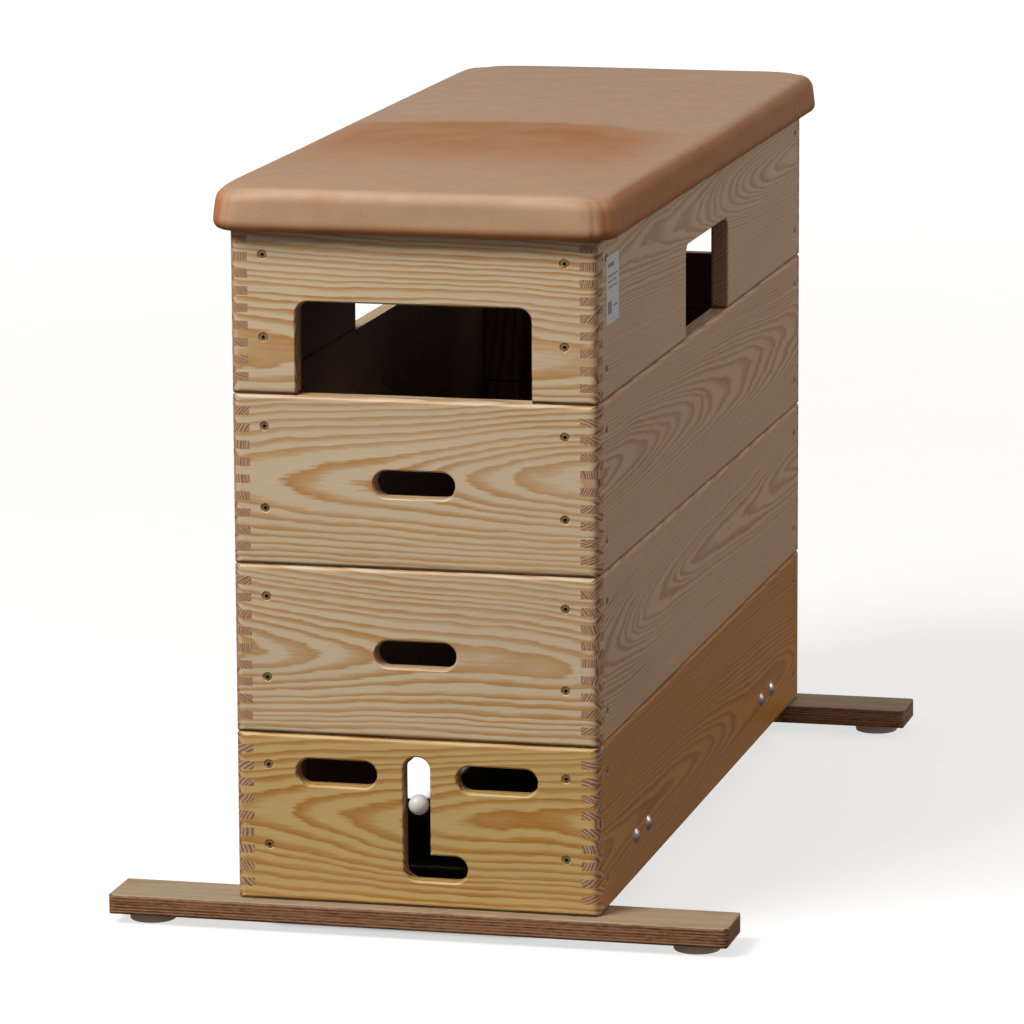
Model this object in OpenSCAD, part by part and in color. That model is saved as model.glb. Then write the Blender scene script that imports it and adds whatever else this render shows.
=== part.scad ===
// Four-section vaulting box with a padded leather top, plywood foot bars and
// a lever-worked wheel mechanism at each end. The origin is on the floor, under
// the middle of the box. Y runs along the box and Z points up.

/* [Box] */
// Width of the box, over the side boards
box_w = 436; // [400:2:500]
// Length of the box, over the end boards
box_l = 1200; // [1100:20:1400]
// Height of one section, a whole number of finger pitches
section_h = 200; // [200:20:240]
// Thickness of the boards
board_t = 22; // [18:1:24]
// Radius of the upright corners
corner_r = 12; // [8:1:14]
// Radius of the outer top and bottom edges
edge_r = 5.5; // [2:0.5:6]
// Distance from one finger to the next
finger_pitch = 20; // [20:20]

/* [Corner posts] */
// Side of the square posts in the corners
post_w = 45; // [40:1:50]
// Height that a post stands up into the section above
peg_h = 25; // [15:1:30]
// Gap between a peg and the boards around it
peg_gap = 1.5; // [1:0.1:2.5]
// Height of a post's foot above its section's lower edge
post_lift = 28; // [26:1:34]

/* [Hand slots] */
// Length of a hand slot
slot_l = 96; // [80:1:110]
// Width of a hand slot
slot_h = 31; // [26:1:34]
// Radius of the rounded lips of slots and notches
lip_r = 4; // [3:0.5:6]
// Distance of the bottom section's hand slots from the middle
pair_x = 96; // [90:0.5:110]
// Height of the bottom section's hand slots in the section
pair_z = 155.5; // [150:0.5:160]

/* [Lever slot] */
// Height of the L-shaped slot's lower edge in the section
lever_slot_z0 = 32; // [30:1:40]
// Height of the L-shaped slot's upper edge in the section
lever_slot_z1 = 179; // [176:1:184]
// Reach of the L's foot from the middle
lever_slot_foot = 60; // [50:1:66]

/* [Top notches] */
// Width of the notch in each end of the top section
end_notch_w = 278; // [240:2:300]
// Height of the notch in each end
end_notch_h = 109; // [90:1:120]
// Width of the notch in each side
side_notch_w = 250; // [200:5:300]
// Height of the notch in each side
side_notch_h = 115; // [90:1:120]
// Radius of the notches' upper corners
notch_r = 15; // [10:1:20]

/* [Pad] */
// Distance that the pad stands out past the box
pad_over = 23; // [20:1:30]
// Height of the pad, with its rim
pad_h = 56; // [50:1:65]
// Distance that the rim hangs down past the top of the boards
pad_drop = 10; // [8:1:12]
// Radius of the pad's upright corners
pad_corner_r = 36; // [30:1:38]
// Radius of the pad's other edges
pad_edge_r = 16; // [14:1:18]
// Thickness of the leather
leather_t = 2; // [1.5:0.5:2.5]
// Thickness of the plywood inside the pad
pad_board_t = 15; // [12:1:18]

/* [Foot bars] */
// Length of a foot bar, across the box
bar_l = 744; // [700:2:800]
// Width of a foot bar
bar_w = 80; // [70:1:90]
// Thickness of a foot bar
bar_t = 24; // [21:1:27]
// Distance that a bar stands out past the end of the box
bar_over = 18; // [10:1:25]
// Diameter of the round rubber feet
foot_d = 55; // [50:1:60]
// Height of the rubber feet
foot_h = 12; // [10:1:14]
// Distance of the feet from the middle
foot_x = 328; // [320:1:335]

/* [Wheel mechanism] */
// Distance of the axle tube from the middle of the box
tube_y = 375; // [370:1:380]
// Height of the axle tube above the floor
tube_z = 87; // [86:0.5:88]
// Diameter of the axle tube
tube_d = 45; // [40:1:46]
// Distance from the axle tube to the wheel axle
arm_l = 70; // [69:0.5:71]
// Slope of the swing plate below level
arm_slope = 44.9; // [44.7:0.1:45]
// Distance from the axle tube to the middle of the knob
lever_l = 226; // [225:0.1:227]
// Slope of the lever above level
lever_slope = 18; // [17.7:0.1:18.3]
// Diameter of the knob
knob_d = 24; // [22:0.5:24]
// Diameter of the wheels
wheel_d = 75; // [70:1:75]
// Width of the wheels
wheel_w = 28; // [24:1:30]
// Distance of the wheels from the middle
wheel_x = 150; // [145:1:150]

/* [Hidden] */
SECTIONS = ["base", "section_2", "section_3", "top"];
ENDS = ["front", "rear"];
HANDS = ["left", "right"];
SECTION_PIECES = ["front_board", "rear_board", "left_board", "right_board", "corner_posts", "screws"];
MECHANISM_PIECES = ["axle_tube", "swing_plate", "lever", "lever_knob", "wheel_axle", "axle_nuts"];
WHEEL_PIECES = ["tyre", "hub"];
BASE_PIECES = ["foot_bar_front", "foot_bar_rear", "foot_bar_screws", "rubber_feet",
    "bearing_plates", "coach_bolts", "coach_washers", "coach_nuts"];
PAD_PIECES = ["pad_board", "pad_foam", "leather_cover", "pad_brackets", "label"];
$fn = 64;

PINE = ["#c8a868", "#cdb88e", "#cdb88e", "#cdb88e"];
PLYWOOD = "#b08a66";
LEATHER = "#b5845c";
RUBBER = "#8a8886";
DARK_STEEL = "#2b2b2d";
ZINC = "#b9bcc0";
BRASS = "#8c7c48";
PALE_PLASTIC = "#d9dad8";

// Cutters reach this far past the faces that they cut
past = 1;
// Free space between a turning shaft and its bore, on the radius
running_gap = 0.05;
// Free space round a fixed fastener in its hole, on the radius
fixed_gap = 0.1;

box_z = foot_h + bar_t;
box_top = box_z + len(SECTIONS) * section_h;
top_section = len(SECTIONS) - 1;
fingers = section_h / finger_pitch - 1;
inner_x = box_w / 2 - board_t;
inner_y = box_l / 2 - board_t;

// Board screws: countersunk into the boards and held in the posts
screw_head_d = 9;
screw_head_h = 3;
screw_d = 5;
screw_sink = 0.8;
// Width of the sloping rim round a screw's head
screw_rim = 1.2;
screw_socket_d = 4.6;
end_screw_l = 35;
side_screw_l = 30;
end_screw_x = 178;
end_screw_z = [66.5, 162.5];
side_screw_y = box_l / 2 - 40;
side_screw_z = [36, 165];

// Screws up through the foot bars into the posts, and through the feet into the bars
bar_screw_l = 50;
bar_screw_y = inner_y - post_w / 2;
bar_screw_x = [inner_x - post_w / 2 - 11, inner_x - post_w / 2 + 11];
foot_screw_head_d = 12;
foot_screw_head_h = 3.5;
foot_screw_l = 28;
foot_screw_z = 1.5;
bar_y = box_l / 2 + bar_over - bar_w / 2;
bar_corner_r = 8;
bar_edge_r = 3;
foot_edge_r = 2;

// Coach bolts M8 and the bearing plates that they hold
bolt_d = 8;
bolt_l = 45;
dome_d = 20;
dome_h = 4.6;
neck_h = 4.5;
bolt_pitch = 66;
washer_d = 16;
washer_h = 1.6;
nut_af = 13;
nut_h = 6.5;
plate_l = 96;
plate_h = 50;
plate_t = 6;
boss_d = 32;
boss_h = 10;
journal_d = 20;
journal_end = inner_x - 3.5;
journal_bore_d = 10;

// Axle tube, lever and wheels
tube_half = 170;
tube_wall = 4;
tube_plug = 10;
swing_plate_t = 5;
swing_plate_half = 118;
sleeve_d = 20;
sleeve_half = 134.5;
axle_d = 12;
axle_half = 174;
axle_nut_af = 19;
axle_nut_h = 8;
axle_nut_x = 165.6;
lever_bar_h = 20;
lever_bar_t = 6;
lever_bar_end = 202;
lever_stud_d = 8;
lever_stud_end = 224;
hub_d = 50;
hub_boss_d = 24;
hub_boss_w = 30;
tyre_round_r = 5;

// Pad fixings
bracket_y = 400;
bracket_leg = 40;
bracket_w = 30;
bracket_t = 3;
bracket_screw_head_d = 8;
bracket_screw_head_h = 2.5;
bracket_screw_d = 4;
bracket_screw_l = 15;
bracket_screw_at = 25;
pad_board_in = 17;
// Gap between the boards and the pad's rim around them
rim_gap = 1.5;
label_size = [0.3, 64, 79];
label_y = -529;
label_z = 125.5;

// Height of a section's lower edge above the floor
function section_z(k) = box_z + k * section_h;
// Side of a square that a nut of this width across flats fits, corner to corner
function across_corners(af) = af / cos(30);
// Turn about Z that carries the front end to this end
function end_turn(e) = e == 0 ? 0 : 180;

// ---- Shared shapes ----

// Rectangle about the middle with round corners
module rounded_rect(w, h, r) {
    square([w - 2 * r, h], center = true);
    square([w, h - 2 * r], center = true);
    for (x = [-1, 1], y = [-1, 1])
        translate([x * (w / 2 - r), y * (h / 2 - r)])
            circle(r);
}

// Block standing on Z = 0, with round upright corners and round upper and lower edges
module rounded_block(w, l, h, upright_r, level_r) {
    intersection() {
        linear_extrude(h)
            rounded_rect(w, l, upright_r);
        translate([0, 0, h / 2])
            rotate([90, 0, 0])
                linear_extrude(l, center = true)
                    rounded_rect(w, h, level_r);
        translate([0, 0, h / 2])
            rotate([90, 0, 90])
                linear_extrude(w, center = true)
                    rounded_rect(l, h, level_r);
    }
}

// Half section of a slot through a board: reach is the distance to its wall, which
// flares out to a rounded lip at both faces. The board fills Y = 0 to board_t.
module lip_section(reach) {
    // The lip's circle stands a little proud of the face, so that it meets it at an angle
    lip_y = lip_r - 0.3;
    difference() {
        translate([0, -past])
            square([reach + lip_r, board_t + 2 * past]);
        translate([reach, lip_y])
            square([lip_r + past, board_t - 2 * lip_y]);
        for (y = [lip_y, board_t - lip_y])
            translate([reach + lip_r, y])
                circle(lip_r);
    }
}

// Round corner of a slot, in the quarter that starts at this angle
module lip_corner(r, angle) {
    rotate([0, 0, angle])
        rotate_extrude(angle = 90)
            lip_section(r);
}

// Straight wall of a slot: it runs along +Y from the origin, and faces +X
module lip_wall(reach, length) {
    translate([0, length, 0])
        rotate([90, 0, 0])
            linear_extrude(length)
                lip_section(reach);
}

// Hand slot through a board that lies on the XY plane
module hand_slot_cutter() {
    r = slot_h / 2;
    straight = slot_l - slot_h;
    for (s = [-1, 1])
        translate([s * straight / 2, 0, 0])
            for (angle = [0, 90])
                lip_corner(r, s > 0 ? angle - 90 : angle + 90);
    for (s = [0, 180])
        rotate([0, 0, s])
            translate([straight / 2, 0, 0])
                rotate([0, 0, 90])
                    lip_wall(r, straight);
}

// L-shaped slot through a board that lies on the XY plane: Y is the height in the section
module lever_slot_cutter() {
    r = slot_h / 2;
    low = lever_slot_z0 + r;
    high = lever_slot_z1 - r;
    foot = lever_slot_foot - r;
    translate([0, high, 0])
        for (angle = [0, 90])
            lip_corner(r, angle);
    translate([0, low, 0]) {
        lip_corner(r, 180);
        lip_wall(r, high - low);
        translate([0, high - low, 0])
            rotate([0, 0, 180])
                lip_wall(r, high - low);
        rotate([0, 0, -90])
            lip_wall(r, foot);
        translate([foot, 0, 0])
            rotate([0, 0, 90])
                lip_wall(r, foot);
        translate([foot, 0, 0])
            for (angle = [-90, 0])
                lip_corner(r, angle);
    }
}

// Notch through a board that lies on the XY plane: it is open at the lower edge, Y = 0
module notch_cutter(w, h) {
    straight = w - 2 * notch_r;
    wall = h - notch_r + past;
    translate([-straight / 2, -past, -past])
        cube([straight, wall, board_t + 2 * past]);
    translate([straight / 2, -past, 0])
        lip_wall(notch_r, wall);
    translate([-straight / 2, wall - past, 0])
        rotate([0, 0, 180])
            lip_wall(notch_r, wall);
    translate([straight / 2, h - notch_r, 0])
        rotate([0, 0, 90])
            lip_wall(notch_r, straight);
    for (s = [-1, 1])
        translate([s * straight / 2, h - notch_r, 0])
            lip_corner(notch_r, s > 0 ? 0 : 90);
}

// Screw with a socket: its head's top is at Z = 0 and its point at Z = length
module socket_screw(length, head_d = screw_head_d, head_h = screw_head_h, d = screw_d) {
    difference() {
        cylinder(d = head_d, h = head_h);
        translate([0, 0, -past])
            cylinder(d = screw_socket_d, h = head_h * 0.6 + past, $fn = 6);
    }
    translate([0, 0, head_h])
        cylinder(d = d, h = length - head_h);
}

// Hole for a screw, with room for its head, from a face at Z = 0
module screw_hole(length) {
    translate([0, 0, -past])
        cylinder(r = screw_head_d / 2 + 2 * fixed_gap, h = screw_sink + screw_head_h + past);
    translate([0, 0, -screw_rim])
        cylinder(
            r1 = screw_head_d / 2 + 2 * fixed_gap + 2 * screw_rim,
            r2 = screw_head_d / 2 + 2 * fixed_gap,
            h = 2 * screw_rim
        );
    cylinder(r = screw_d / 2 + fixed_gap, h = length + fixed_gap);
}

// Places children at a section's four screws in one end board, pointing into the box
module at_end_screws(k) {
    for (x = [-end_screw_x, end_screw_x], z = end_screw_z)
        translate([x, -box_l / 2, section_z(k) + z])
            rotate([-90, 0, 0])
                children();
}

// Places children at a section's four screws in the right side board, pointing into the box
module at_side_screws(k) {
    for (y = [-side_screw_y, side_screw_y], z = side_screw_z)
        translate([box_w / 2, y, section_z(k) + z])
            rotate([0, -90, 0])
                children();
}

// Places children at the coach bolts in the right side board, pointing into the box
module at_coach_bolts() {
    for (e = [-1, 1], b = [-1, 1])
        translate([box_w / 2, e * tube_y + b * bolt_pitch / 2, tube_z])
            rotate([0, -90, 0])
                children();
}

// Places children at the front end and, turned half a turn, at the rear end
module at_both_ends() {
    for (e = [0, 1])
        rotate([0, 0, end_turn(e)])
            children();
}

// The outer shape of one section, with all its edges round
module section_shape(k) {
    translate([0, 0, section_z(k)])
        rounded_block(box_w, box_l, section_h, corner_r, edge_r);
}

// ---- Boards of the sections ----

// Front board of a section, or the rear board, which is the same turned half a turn
module end_board(k, e) {
    color(PINE[k])
        rotate([0, 0, end_turn(e)])
            intersection() {
                section_shape(k);
                difference() {
                    translate([-box_w / 2, -box_l / 2, section_z(k)])
                        cube([box_w, board_t, section_h]);
                    end_board_joints(k);
                    at_end_screws(k)
                        screw_hole(board_t + past);
                    translate([0, -inner_y, section_z(k)])
                        rotate([90, 0, 0])
                            end_board_openings(k);
                }
            }
}

// Gaps in an end board that take the side boards' fingers
module end_board_joints(k) {
    for (s = [-1, 1], n = [1 : fingers])
        translate([s * (inner_x + board_t), -box_l / 2, section_z(k) + n * finger_pitch])
            cube([2 * board_t, 2 * board_t + past, finger_pitch / 2], center = true);
}

// Openings in an end board that lies on the XY plane, with Y as the height
module end_board_openings(k) {
    if (k == 0) {
        for (s = [-1, 1])
            translate([s * pair_x, pair_z, 0])
                hand_slot_cutter();
        lever_slot_cutter();
    }
    if (k > 0 && k < top_section)
        translate([0, section_h / 2, 0])
            hand_slot_cutter();
    if (k == top_section)
        notch_cutter(end_notch_w, end_notch_h);
}

// Right board of a section, or the left board, which is the same turned half a turn
module side_board(k, h) {
    color(PINE[k])
        rotate([0, 0, h == 1 ? 0 : 180])
            intersection() {
                section_shape(k);
                difference() {
                    translate([inner_x, -box_l / 2, section_z(k)])
                        cube([board_t, box_l, section_h]);
                    side_board_joints(k);
                    at_side_screws(k)
                        screw_hole(board_t + past);
                    if (k == 0)
                        at_coach_bolts()
                            coach_bolt_hole();
                    if (k == top_section) {
                        translate([inner_x, 0, section_z(k)])
                            rotate([90, 0, 90])
                                notch_cutter(side_notch_w, side_notch_h);
                        at_pad_brackets()
                            bracket_side_screw(hole = true);
                    }
                }
            }
}

// Gaps at both ends of a side board that take the end boards' fingers
module side_board_joints(k) {
    for (s = [-1, 1], n = [0 : fingers]) {
        low = n == 0 ? -past : (n + 0.25) * finger_pitch;
        high = n == fingers ? section_h + past : (n + 0.75) * finger_pitch;
        translate([inner_x - past, s * box_l / 2 - board_t, section_z(k) + low])
            cube([board_t + 2 * past, 2 * board_t, high - low]);
    }
}

// Four posts in a section's corners, whose tops are the pegs for the section above
module corner_posts(k) {
    low = k == 0 ? 0 : post_lift;
    color("#b99a6a")
        difference() {
            for (x = [-1, 1], y = [-1, 1])
                scale([x, y, 1])
                    corner_post(section_z(k) + low, section_z(k + 1), k < top_section);
            at_both_ends() {
                at_end_screws(k)
                    cylinder(r = screw_d / 2 + fixed_gap, h = end_screw_l + screw_sink + fixed_gap);
                at_side_screws(k)
                    cylinder(r = screw_d / 2 + fixed_gap, h = side_screw_l + screw_sink + fixed_gap);
            }
            if (k == 0)
                at_bar_screws()
                    cylinder(r = screw_d / 2 + fixed_gap, h = bar_screw_l + screw_sink + fixed_gap);
        }
}

// One post, in the corner where X and Y are positive
module corner_post(low, high, with_peg) {
    translate([inner_x - post_w, inner_y - post_w, low])
        cube([post_w, post_w, high - low]);
    if (with_peg)
        translate([inner_x - post_w, inner_y - post_w, low])
            cube([post_w - peg_gap, post_w - peg_gap, high - low + peg_h]);
}

// A section's screws: four in each end board and four in each side board
module section_screws(k) {
    color(BRASS)
        at_both_ends() {
            at_end_screws(k)
                translate([0, 0, screw_sink])
                    socket_screw(end_screw_l);
            at_side_screws(k)
                translate([0, 0, screw_sink])
                    socket_screw(side_screw_l);
        }
}

// ---- Foot bars and feet ----

// Plywood bar across the box, under the end boards
module foot_bar(e) {
    color(PLYWOOD)
        difference() {
            rotate([0, 0, end_turn(e)])
                translate([0, -bar_y, foot_h])
                    rounded_block(bar_l, bar_w, bar_t, bar_corner_r, bar_edge_r);
            at_bar_screws()
                screw_hole(bar_t + past);
            at_feet()
                translate([0, 0, foot_h - past])
                    cylinder(r = screw_d / 2 + fixed_gap, h = foot_screw_l + foot_screw_z - foot_h + 2 * past);
        }
}

// Places children at the screws up into the posts, pointing up
module at_bar_screws() {
    for (x = bar_screw_x, sx = [-1, 1], sy = [-1, 1])
        translate([sx * x, sy * bar_screw_y, foot_h])
            children();
}

// Places children on the floor under the middles of the feet
module at_feet() {
    for (x = [-foot_x, foot_x], y = [-bar_y, bar_y])
        translate([x, y, 0])
            children();
}

// Screws of both foot bars: into the posts, and through the feet
module foot_bar_screws() {
    color(ZINC) {
        at_bar_screws()
            translate([0, 0, screw_sink])
                socket_screw(bar_screw_l);
        at_feet()
            translate([0, 0, foot_screw_z])
                socket_screw(foot_screw_l, foot_screw_head_d, foot_screw_head_h);
    }
}

// Four round feet, each with a counterbore for its screw
module rubber_feet() {
    color(RUBBER)
        at_feet()
            difference() {
                rotate_extrude() {
                    square([foot_d / 2 - foot_edge_r, foot_h]);
                    translate([0, foot_edge_r])
                        square([foot_d / 2, foot_h - foot_edge_r]);
                    translate([foot_d / 2 - foot_edge_r, foot_edge_r])
                        circle(foot_edge_r);
                }
                translate([0, 0, -past])
                    cylinder(r = screw_d / 2 + fixed_gap, h = foot_h + 2 * past);
                translate([0, 0, -past])
                    cylinder(
                        r = foot_screw_head_d / 2 + 2 * fixed_gap,
                        h = foot_screw_z + foot_screw_head_h + past
                    );
            }
}

// ---- Bearings and their bolts ----

// Hole for a coach bolt through a side board, square where the neck sits
module coach_bolt_hole() {
    translate([0, 0, -past])
        cylinder(r = bolt_d / 2 + 2 * fixed_gap, h = board_t + 2 * past);
    translate([-bolt_d / 2, -bolt_d / 2, -past])
        cube([bolt_d, bolt_d, neck_h + past]);
}

// Coach bolts: a dome outside, a square neck and a shank into the box
module coach_bolts() {
    sphere_r = (dome_d * dome_d / 4 + dome_h * dome_h) / (2 * dome_h);
    color(ZINC)
        at_both_ends()
            at_coach_bolts() {
                intersection() {
                    translate([0, 0, sphere_r - dome_h])
                        sphere(sphere_r);
                    translate([0, 0, -dome_h])
                        cylinder(d = dome_d, h = dome_h);
                }
                translate([-bolt_d / 2, -bolt_d / 2, 0])
                    cube([bolt_d, bolt_d, neck_h]);
                cylinder(d = bolt_d, h = bolt_l);
            }
}

// Washers of the coach bolts, on the bearing plates
module coach_washers() {
    color(ZINC)
        at_both_ends()
            at_coach_bolts()
                translate([0, 0, board_t + plate_t])
                    difference() {
                        cylinder(d = washer_d, h = washer_h);
                        translate([0, 0, -past])
                            cylinder(r = bolt_d / 2 + 2 * fixed_gap, h = washer_h + 2 * past);
                    }
}

// Hexagon nut on the XY plane
module hexagon_nut(af, h, bore_r) {
    difference() {
        cylinder(d = across_corners(af), h = h, $fn = 6);
        translate([0, 0, -past])
            cylinder(r = bore_r, h = h + 2 * past);
    }
}

// Nuts of the coach bolts
module coach_nuts() {
    color(ZINC)
        at_both_ends()
            at_coach_bolts()
                translate([0, 0, board_t + plate_t + washer_h])
                    hexagon_nut(nut_af, nut_h, bolt_d / 2 + running_gap);
}

// Four steel plates inside the side boards, each with a boss that an axle tube turns in
module bearing_plates() {
    color(DARK_STEEL)
        at_both_ends()
            for (y = [-tube_y, tube_y])
                translate([inner_x, y, tube_z])
                    rotate([0, -90, 0])
                        bearing_plate();
}

// One bearing plate, on the XY plane with its boss along Z and its length along Y
module bearing_plate() {
    difference() {
        union() {
            translate([-plate_h / 2, -plate_l / 2, 0])
                cube([plate_h, plate_l, plate_t]);
            cylinder(d = boss_d, h = plate_t + boss_h);
        }
        translate([0, 0, -past])
            cylinder(r = journal_d / 2 + running_gap, h = plate_t + boss_h + 2 * past);
        for (s = [-1, 1])
            translate([0, s * bolt_pitch / 2, -past])
                cylinder(r = bolt_d / 2 + fixed_gap, h = plate_t + 2 * past);
    }
}

// ---- Wheel mechanism, drawn for the front end ----

// Places children in the axle tube's frame at one end: X along the tube
module at_tube(e) {
    rotate([0, 0, end_turn(e)])
        translate([0, -tube_y, tube_z])
            children();
}

// Cylinder along X, about the middle
module x_cylinder(r, half) {
    rotate([0, 90, 0])
        cylinder(r = r, h = 2 * half, center = true);
}

// Tube across the box, with plugs and drilled journals welded in its ends
module axle_tube(e) {
    color(DARK_STEEL)
        at_tube(e)
            difference() {
                union() {
                    x_cylinder(tube_d / 2, tube_half);
                    x_cylinder(journal_d / 2, journal_end);
                }
                x_cylinder(tube_d / 2 - tube_wall, tube_half - tube_plug);
                x_cylinder(journal_bore_d / 2, journal_end + past);
            }
}

// Places children in the wheel axle's frame at one end
module at_wheel_axle(e) {
    at_tube(e)
        rotate([arm_slope, 0, 0])
            translate([0, -arm_l, 0])
                children();
}

// Plate from the tube down to a sleeve that holds the wheel axle
module swing_plate(e) {
    color(DARK_STEEL)
        difference() {
            union() {
                at_tube(e)
                    rotate([arm_slope, 0, 0])
                        translate([-swing_plate_half, -arm_l, -swing_plate_t / 2])
                            cube([2 * swing_plate_half, arm_l - tube_d / 2 + 2 * past, swing_plate_t]);
                at_wheel_axle(e)
                    x_cylinder(sleeve_d / 2, sleeve_half);
            }
            at_tube(e)
                x_cylinder(tube_d / 2, tube_half);
            at_wheel_axle(e)
                x_cylinder(axle_d / 2 + running_gap, sleeve_half + past);
        }
}

// Places children in the lever's frame at one end: -Y points along the lever
module at_lever(e) {
    at_tube(e)
        rotate([-lever_slope, 0, 0])
            children();
}

// Flat bar on edge from the tube, with a stud for the knob
module lever(e) {
    color(DARK_STEEL)
        difference() {
            at_lever(e) {
                translate([-lever_bar_t / 2, -lever_bar_end, -lever_bar_h / 2])
                    cube([lever_bar_t, lever_bar_end - tube_d / 4, lever_bar_h]);
                rotate([90, 0, 0])
                    cylinder(d = lever_stud_d, h = lever_stud_end);
            }
            at_tube(e)
                x_cylinder(tube_d / 2, tube_half);
        }
}

// Ball knob on the lever's stud
module lever_knob(e) {
    color(PALE_PLASTIC)
        at_lever(e)
            difference() {
                translate([0, -lever_l, 0])
                    sphere(d = knob_d);
                rotate([90, 0, 0])
                    cylinder(r = lever_stud_d / 2 + running_gap, h = lever_stud_end + running_gap);
            }
}

// Rod that the two wheels of one end turn on
module wheel_axle(e) {
    color(ZINC)
        at_wheel_axle(e)
            x_cylinder(axle_d / 2, axle_half);
}

// Nuts on both ends of a wheel axle
module axle_nuts(e) {
    color(ZINC)
        at_wheel_axle(e)
            for (s = [-1, 1])
                rotate([0, s * 90, 0])
                    translate([0, 0, axle_nut_x])
                        hexagon_nut(axle_nut_af, axle_nut_h, axle_d / 2 + running_gap);
}

// Places children at a wheel's middle, with Z along its axle
module at_wheel(e, h) {
    at_wheel_axle(e)
        translate([(h == 1 ? 1 : -1) * (e == 0 ? 1 : -1) * wheel_x, 0, 0])
            rotate([0, 90, 0])
                children();
}

// Rubber tyre with round shoulders
module tyre(e, h) {
    color("#3a3a3c")
        at_wheel(e, h)
            rotate_extrude()
                difference() {
                    rounded_rect(wheel_d, wheel_w, tyre_round_r);
                    translate([-wheel_d, -wheel_w])
                        square([wheel_d + hub_d / 2, 2 * wheel_w]);
                }
}

// Hub with a longer boss round the axle
module hub(e, h) {
    color("#6e7072")
        at_wheel(e, h)
            difference() {
                union() {
                    cylinder(d = hub_d, h = wheel_w, center = true);
                    cylinder(d = hub_boss_d, h = hub_boss_w, center = true);
                }
                cylinder(r = axle_d / 2 + running_gap, h = hub_boss_w + 2 * past, center = true);
            }
}

// ---- Padded top ----

// Outer shape of the pad, drawn in by the leather's thickness or not
module pad_shape(inset) {
    translate([0, 0, box_top - pad_drop + inset])
        rounded_block(
            box_w + 2 * (pad_over - inset),
            box_l + 2 * (pad_over - inset),
            pad_h - 2 * inset,
            pad_corner_r - inset,
            pad_edge_r - inset
        );
}

// Room for the boards inside the pad's rim, widened by the leather's thickness or not
module pad_recess(out) {
    gap = rim_gap + out;
    translate([0, 0, box_top - pad_drop - past])
        linear_extrude(pad_drop + past + out)
            rounded_rect(box_w + 2 * gap, box_l + 2 * gap, corner_r + gap);
}

// Shape of the plywood inside the pad
module pad_board_shape() {
    inset = pad_board_in - leather_t;
    translate([0, 0, box_top + leather_t])
        linear_extrude(pad_board_t)
            rounded_rect(
                box_w + 2 * (pad_over - leather_t - inset),
                box_l + 2 * (pad_over - leather_t - inset),
                pad_corner_r - inset
            );
}

// Plywood that the foam and the leather are stretched over
module pad_board() {
    color(PLYWOOD)
        difference() {
            pad_board_shape();
            at_pad_brackets()
                bracket_pad_screw(hole = true);
        }
}

// Foam over the plywood, round its edges and down into the rim
module pad_foam() {
    color("#d8c98f")
        difference() {
            pad_shape(leather_t);
            pad_recess(leather_t);
            pad_board_shape();
        }
}

// Leather over the foam, turned in under the rim, and lying on top of the boards
module leather_cover() {
    color(LEATHER)
        difference() {
            pad_shape(0);
            pad_recess(0);
            difference() {
                pad_shape(leather_t);
                pad_recess(leather_t);
            }
            translate([-inner_x, -inner_y, box_top - past])
                cube([2 * inner_x, 2 * inner_y, leather_t + 2 * past]);
        }
}

// Places children at the brackets inside the side boards, drawn for the right side
module at_pad_brackets() {
    for (s = [0, 180], y = [-bracket_y, bracket_y])
        rotate([0, 0, s])
            translate([inner_x, y, box_top + leather_t])
                children();
}

// Screw from a bracket into the side board, or its hole
module bracket_side_screw(hole = false) {
    translate([-bracket_t - bracket_screw_head_h, 0, -bracket_screw_at])
        rotate([0, 90, 0])
            bracket_screw(hole);
}

// Screw from a bracket up into the pad, or its hole
module bracket_pad_screw(hole = false) {
    translate([-bracket_screw_at, 0, -bracket_t - bracket_screw_head_h])
        bracket_screw(hole);
}

// Small screw along Z, or the hole for its shank
module bracket_screw(hole) {
    if (hole)
        cylinder(r = bracket_screw_d / 2 + fixed_gap, h = bracket_screw_l + fixed_gap);
    else
        socket_screw(bracket_screw_l, bracket_screw_head_d, bracket_screw_head_h, bracket_screw_d);
}

// Steel angle brackets and their screws, which hold the pad to the top section
module pad_brackets() {
    color(ZINC)
        at_pad_brackets() {
            difference() {
                union() {
                    translate([-bracket_t, -bracket_w / 2, -bracket_leg])
                        cube([bracket_t, bracket_w, bracket_leg]);
                    translate([-bracket_leg, -bracket_w / 2, -bracket_t])
                        cube([bracket_leg, bracket_w, bracket_t]);
                }
                bracket_side_screw(hole = true);
                bracket_pad_screw(hole = true);
            }
            bracket_side_screw();
            bracket_pad_screw();
        }
}

// Blank sticker on the right side board of the top section
module label() {
    color("#dfe3e6")
        translate([box_w / 2, label_y - label_size.y / 2, section_z(top_section) + label_z - label_size.z / 2])
            cube(label_size);
}

// ---- What is drawn ----

for (k = [0 : top_section]) {
    s = SECTIONS[k];
    end_board(k, 0);
    end_board(k, 1);
    side_board(k, 0);
    side_board(k, 1);
    corner_posts(k);
    section_screws(k);
}
for (e = [0, 1]) {
    axle_tube(e);
    swing_plate(e);
    lever(e);
    lever_knob(e);
    wheel_axle(e);
    axle_nuts(e);
    for (h = [0, 1]) {
        tyre(e, h);
        hub(e, h);
    }
}
foot_bar(0);  // foot_bar_front
foot_bar(1);  // foot_bar_rear
foot_bar_screws();
rubber_feet();
bearing_plates();
coach_bolts();
coach_washers();
coach_nuts();
pad_board();
pad_foam();
leather_cover();
pad_brackets();
label();
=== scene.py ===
"""Looks of a four-section vaulting box with a padded leather top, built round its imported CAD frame."""
import math

import bpy
import numpy as np
from mathutils import Matrix, Vector


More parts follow.
